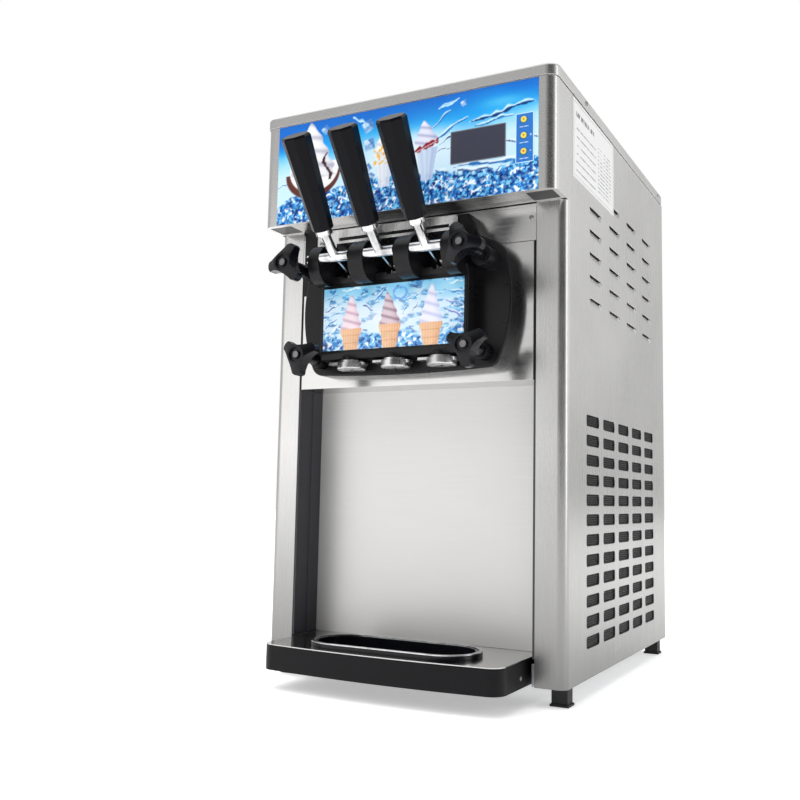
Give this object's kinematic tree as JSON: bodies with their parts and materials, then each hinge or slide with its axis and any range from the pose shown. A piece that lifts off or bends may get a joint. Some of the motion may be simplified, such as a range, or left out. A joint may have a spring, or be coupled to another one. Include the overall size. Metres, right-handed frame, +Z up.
{
  "type": "soft serve machine",
  "caption": "Counter-top soft serve ice cream machine with pull handles, a dispensing head, mix hoppers and a drip tray in a stainless cabinet.",
  "frame": {"origin": "under the middle of the whole machine, on the counter plane that the feet stand on", "axes": "+X to the machine's right as its user faces it, +Y to the back, +Z up"},
  "size_m": [0.4872, 0.8278, 0.8888],
  "materials": {
    "stainless": "brushed stainless sheet",
    "chrome": "polished",
    "black_plastic": "satin black",
    "gloss_black": "semi-gloss black",
    "rubber": "matte",
    "print_header": "glossy printed film",
    "print_door": "glossy printed film",
    "display": "smoked window",
    "button_blue": "printed film",
    "button_yellow": "gloss",
    "label": "plain white label",
    "dark_steel": "black oxide",
    "frame_steel": "galvanised",
    "nozzle": "bright",
    "aluminium": "machined",
    "board": "circuit board",
    "piston": "white food-grade plastic",
    "motor": "enamel",
    "screw": "zinc plated",
    "fan": "satin"
  },
  "bodies": {
    "cabinet": {"feet": "rubber", "chassis_frame": "frame_steel", "left_side_panel": "stainless", "right_side_panel": "stainless", "rear_panel": "stainless", "cord_gland": "black_plastic", "lid": "stainless", "hopper_left": "stainless", "hopper_right": "stainless", "header_shell": "stainless", "header_graphic": "print_header", "display_window": "display", "button_panel": "button_blue", "control_board": "board", "black_trims": "black_plastic", "upper_front_panels": "stainless", "recess_panel": "stainless", "recess_liners": "black_plastic", "drip_base": "black_plastic", "base_top_plate": "stainless", "door_body": "black_plastic", "door_graphic": "print_door", "pivot_pin": "chrome", "nozzle_caps": "nozzle", "stop_bar": "chrome", "door_studs": "dark_steel", "front_plate": "stainless", "door_seals": "rubber", "freezing_cylinders": "stainless", "drive_belt": "rubber", "drive_motor": "motor", "compressor": "dark_steel", "condenser": "dark_steel", "side_filters": "fan", "panel_screws": "screw", "side_label": "label"},
    "handle_left": {"handle_left": "chrome", "grip_left": "gloss_black"},
    "handle_middle": {"handle_middle": "chrome", "grip_middle": "gloss_black"},
    "handle_right": {"handle_right": "chrome", "grip_right": "gloss_black"},
    "plunger_left": {"plunger_left": "piston"},
    "plunger_middle": {"plunger_middle": "piston"},
    "plunger_right": {"plunger_right": "piston"},
    "knob_upper_left": {"knob_upper_left": "gloss_black"},
    "knob_upper_right": {"knob_upper_right": "gloss_black"},
    "knob_lower_left": {"knob_lower_left": "gloss_black"},
    "knob_lower_right": {"knob_lower_right": "gloss_black"},
    "button_mode": {"button_mode": "button_yellow"},
    "button_plus": {"button_plus": "button_yellow"},
    "button_minus": {"button_minus": "button_yellow"},
    "drip_tray": {"drip_tray": "gloss_black", "tray_rim": "chrome"},
    "hopper_cover_left": {"hopper_cover_left": "stainless"},
    "hopper_cover_right": {"hopper_cover_right": "stainless"},
    "beater_left": {"beater_left": "stainless"},
    "beater_right": {"beater_right": "stainless"},
    "motor_rotor": {"motor_pulley": "aluminium"},
    "condenser_fan": {"condenser_fan": "fan"}
  },
  "joints": [
    {"name": "handle_left_pull", "type": "hinge", "parent": "cabinet", "child": "handle_left", "pos_m": [-0.0735, -0.29014, 0.62], "axis": [1, 0, 0], "range_deg": [0, 40]},
    {"name": "plunger_left_lift", "type": "slide", "parent": "cabinet", "child": "plunger_left", "axis": [0, 0, 1], "range_m": [0, 0.0395]},
    {"name": "handle_middle_pull", "type": "hinge", "parent": "cabinet", "child": "handle_middle", "pos_m": [0, -0.29014, 0.62], "axis": [1, 0, 0], "range_deg": [0, 40]},
    {"name": "plunger_middle_lift", "type": "slide", "parent": "cabinet", "child": "plunger_middle", "axis": [0, 0, 1], "range_m": [0, 0.0395]},
    {"name": "handle_right_pull", "type": "hinge", "parent": "cabinet", "child": "handle_right", "pos_m": [0.0735, -0.29014, 0.62], "axis": [1, 0, 0], "range_deg": [0, 40]},
    {"name": "plunger_right_lift", "type": "slide", "parent": "cabinet", "child": "plunger_right", "axis": [0, 0, 1], "range_m": [0, 0.0395]},
    {"name": "knob_upper_left_turn", "type": "hinge", "parent": "cabinet", "child": "knob_upper_left", "pos_m": [-0.139, -0.29014, 0.6105], "axis": [0, -1, 0], "range_deg": [0, 720]},
    {"name": "knob_upper_right_turn", "type": "hinge", "parent": "cabinet", "child": "knob_upper_right", "pos_m": [0.139, -0.29014, 0.6105], "axis": [0, -1, 0], "range_deg": [0, 720]},
    {"name": "knob_lower_left_turn", "type": "hinge", "parent": "cabinet", "child": "knob_lower_left", "pos_m": [-0.1326, -0.29014, 0.4805], "axis": [0, -1, 0], "range_deg": [0, 720]},
    {"name": "knob_lower_right_turn", "type": "hinge", "parent": "cabinet", "child": "knob_lower_right", "pos_m": [0.1326, -0.29014, 0.4805], "axis": [0, -1, 0], "range_deg": [0, 720]},
    {"name": "button_mode_press", "type": "slide", "parent": "cabinet", "child": "button_mode", "axis": [0, 1, 0], "range_m": [0, 0.0008], "stiffness_N_per_m": 400},
    {"name": "button_plus_press", "type": "slide", "parent": "cabinet", "child": "button_plus", "axis": [0, 1, 0], "range_m": [0, 0.0008], "stiffness_N_per_m": 400},
    {"name": "button_minus_press", "type": "slide", "parent": "cabinet", "child": "button_minus", "axis": [0, 1, 0], "range_m": [0, 0.0008], "stiffness_N_per_m": 400},
    {"name": "drip_tray_lift", "type": "slide", "parent": "cabinet", "child": "drip_tray", "axis": [0, 0, 1], "range_m": [0, 0.1]},
    {"name": "hopper_cover_left_lift", "type": "slide", "parent": "cabinet", "child": "hopper_cover_left", "axis": [0, 0, 1], "range_m": [0, 0.12]},
    {"name": "hopper_cover_right_lift", "type": "slide", "parent": "cabinet", "child": "hopper_cover_right", "axis": [0, 0, 1], "range_m": [0, 0.12]},
    {"name": "motor_turn", "type": "hinge", "parent": "cabinet", "child": "motor_rotor", "pos_m": [0, 0.19186, 0.4], "axis": [0, 1, 0], "continuous": true},
    {"name": "beater_left_turn", "type": "hinge", "parent": "cabinet", "child": "beater_left", "pos_m": [-0.075, 0.00986, 0.545], "axis": [0, 1, 0], "continuous": true},
    {"name": "beater_right_turn", "type": "hinge", "parent": "cabinet", "child": "beater_right", "pos_m": [0.075, 0.00986, 0.545], "axis": [0, 1, 0], "continuous": true},
    {"name": "condenser_fan_turn", "type": "hinge", "parent": "cabinet", "child": "condenser_fan", "pos_m": [0.158, 0.10986, 0.24], "axis": [1, 0, 0], "continuous": true}
  ],
  "couplings": [
    {"joint": "plunger_left_lift", "follows": "handle_left_pull", "m_per_rad": 0.05631},
    {"joint": "plunger_middle_lift", "follows": "handle_middle_pull", "m_per_rad": 0.05631},
    {"joint": "plunger_right_lift", "follows": "handle_right_pull", "m_per_rad": 0.05631},
    {"joint": "beater_left_turn", "follows": "motor_turn", "ratio": 0.4641},
    {"joint": "beater_right_turn", "follows": "motor_turn", "ratio": 0.4641}
  ]
}
